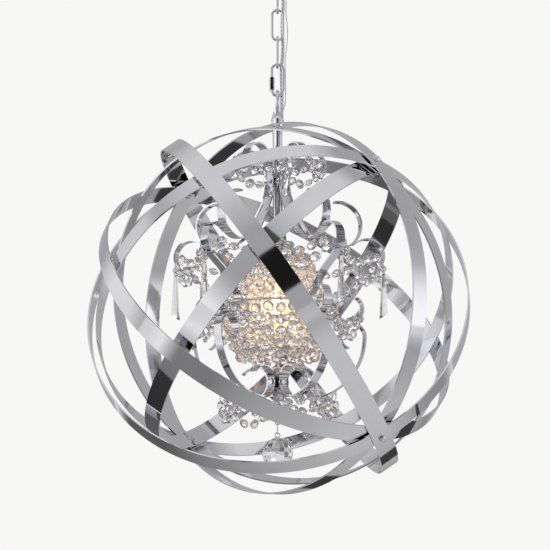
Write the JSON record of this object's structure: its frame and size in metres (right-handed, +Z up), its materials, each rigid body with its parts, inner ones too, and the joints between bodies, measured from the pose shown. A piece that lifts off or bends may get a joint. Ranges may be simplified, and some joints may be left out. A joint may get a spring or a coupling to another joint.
{
  "type": "orb chandelier",
  "caption": "Polished orb chandelier of folding flat hoops on a chain, round a small scroll-arm chandelier with cut crystal strings, prisms and a lamp.",
  "frame": {"origin": "centre of the ceiling mount, on the rim plane of the canopy", "axes": "+X to the right of one who faces it, +Y away from the viewer, +Z up"},
  "size_m": [0.4998, 0.5085, 0.7441],
  "materials": {
    "chrome": "mirror polished",
    "zinc_steel": "zinc plated",
    "cord_sleeve": "clear silver sleeve",
    "earth_wire": "thin sleeve over bare wire",
    "holder_plastic": "matt",
    "lamp_glass": "clear, lit warm",
    "crystal": "clear cut crystal"
  },
  "bodies": {
    "canopy": {"canopy_cover": "chrome", "mounting_strap": "zinc_steel", "canopy_nipple": "zinc_steel", "nipple_nuts": "zinc_steel", "canopy_loop": "chrome", "power_cord": "cord_sleeve", "earth_wire": "earth_wire"},
    "chandelier": {"chain_link_1": "chrome", "chain_link_2": "chrome", "chain_link_3": "chrome", "quick_link": "chrome", "stem_loop": "chrome", "hoop_spacer": "chrome", "stem_nut": "chrome", "stem_tube": "chrome", "main_hoop": "chrome", "pivot_screws": "chrome", "pivot_nuts": "chrome", "pivot_washers": "chrome", "arm_collar": "chrome", "bottom_hub": "chrome", "arm_screws": "chrome", "scroll_arm_1": "chrome", "scroll_arm_2": "chrome", "scroll_arm_3": "chrome", "scroll_arm_4": "chrome", "scroll_arm_5": "chrome", "lamp_cup": "chrome", "crystal_plate": "chrome", "holder_ring": "chrome", "skirt_ring": "chrome", "prism_eyes": "chrome", "ball_eye": "chrome", "stem_nipple": "zinc_steel", "stem_lead": "cord_sleeve", "lamp_holder": "holder_plastic", "column_strings": "crystal", "drape_strings": "crystal", "skirt_strings": "crystal", "top_swags": "crystal", "arm_garlands": "crystal", "curl_garlands": "crystal", "bottom_swags": "crystal"},
    "ball": {"ball_links": "chrome", "crystal_ball": "crystal"},
    "outer_hoop_large": {"outer_hoop_large": "chrome"},
    "outer_hoop_small": {"outer_hoop_small": "chrome"},
    "outer_hoop_middle": {"outer_hoop_middle": "chrome"},
    "inner_hoop_large": {"inner_hoop_large": "chrome"},
    "inner_hoop_small": {"inner_hoop_small": "chrome"},
    "inner_hoop_middle": {"inner_hoop_middle": "chrome"},
    "quick_link_sleeve": {"quick_link_sleeve": "chrome"},
    "prism_1": {"prism_1": "crystal"},
    "prism_2": {"prism_2": "crystal"},
    "prism_3": {"prism_3": "crystal"},
    "prism_4": {"prism_4": "crystal"},
    "prism_5": {"prism_5": "crystal"},
    "bulb": {"bulb": "lamp_glass"}
  },
  "joints": [
    {"name": "chain_swing", "type": "hinge", "parent": "canopy", "child": "chandelier", "pos_m": [0, 0, -0.0677], "axis": [1, 0, 0], "range_deg": [-8, 8], "deforming": ["power_cord", "earth_wire"]},
    {"name": "outer_hoop_large_fold", "type": "hinge", "parent": "chandelier", "child": "outer_hoop_large", "pos_m": [0, 0, -0.5009], "axis": [-0.5087, 0.4912, 0.7071], "range_deg": [-117, 44]},
    {"name": "outer_hoop_middle_fold", "type": "hinge", "parent": "chandelier", "child": "outer_hoop_middle", "pos_m": [0, 0, -0.5009], "axis": [-0.5087, 0.4912, 0.7071], "range_deg": [-36, 125]},
    {"name": "outer_hoop_small_fold", "type": "hinge", "parent": "chandelier", "child": "outer_hoop_small", "pos_m": [0, 0, -0.5009], "axis": [-0.5087, 0.4912, 0.7071], "range_deg": [-74, 87]},
    {"name": "inner_hoop_large_fold", "type": "hinge", "parent": "chandelier", "child": "inner_hoop_large", "pos_m": [0, 0, -0.5009], "axis": [0.5087, -0.4912, 0.7071], "range_deg": [-63, 98]},
    {"name": "inner_hoop_middle_fold", "type": "hinge", "parent": "chandelier", "child": "inner_hoop_middle", "pos_m": [0, 0, -0.5009], "axis": [0.5087, -0.4912, 0.7071], "range_deg": [-17, 144]},
    {"name": "inner_hoop_small_fold", "type": "hinge", "parent": "chandelier", "child": "inner_hoop_small", "pos_m": [0, 0, -0.5009], "axis": [0.5087, -0.4912, 0.7071], "range_deg": [-102, 59]},
    {"name": "prism_1_swing", "type": "hinge", "parent": "chandelier", "child": "prism_1", "pos_m": [0.14088, 0.03775, -0.4468], "axis": [0.9659, 0.2588, 0], "range_deg": [-25, 25]},
    {"name": "prism_2_swing", "type": "hinge", "parent": "chandelier", "child": "prism_2", "pos_m": [0.00763, 0.14565, -0.4468], "axis": [0.0523, 0.9986, 0], "range_deg": [-25, 25]},
    {"name": "prism_3_swing", "type": "hinge", "parent": "chandelier", "child": "prism_3", "pos_m": [-0.13617, 0.05227, -0.4468], "axis": [-0.9336, 0.3584, 0], "range_deg": [-25, 25]},
    {"name": "prism_4_swing", "type": "hinge", "parent": "chandelier", "child": "prism_4", "pos_m": [-0.09179, -0.11335, -0.4468], "axis": [-0.6293, -0.7771, 0], "range_deg": [-25, 25]},
    {"name": "prism_5_swing", "type": "hinge", "parent": "chandelier", "child": "prism_5", "pos_m": [0.07944, -0.12232, -0.4468], "axis": [0.5446, -0.8387, 0], "range_deg": [-25, 25]},
    {"name": "ball_swing", "type": "hinge", "parent": "chandelier", "child": "ball", "pos_m": [0, 0, -0.631], "axis": [1, 0, 0], "range_deg": [-20, 20]},
    {"name": "quick_link_sleeve_travel", "type": "slide", "parent": "chandelier", "child": "quick_link_sleeve", "axis": [0, 0, 1], "range_m": [0, 0.0095]},
    {"name": "bulb_turn", "type": "hinge", "parent": "chandelier", "child": "bulb", "pos_m": [0, 0, -0.4649], "axis": [0, 0, 1], "range_deg": [0, 1080]}
  ]
}
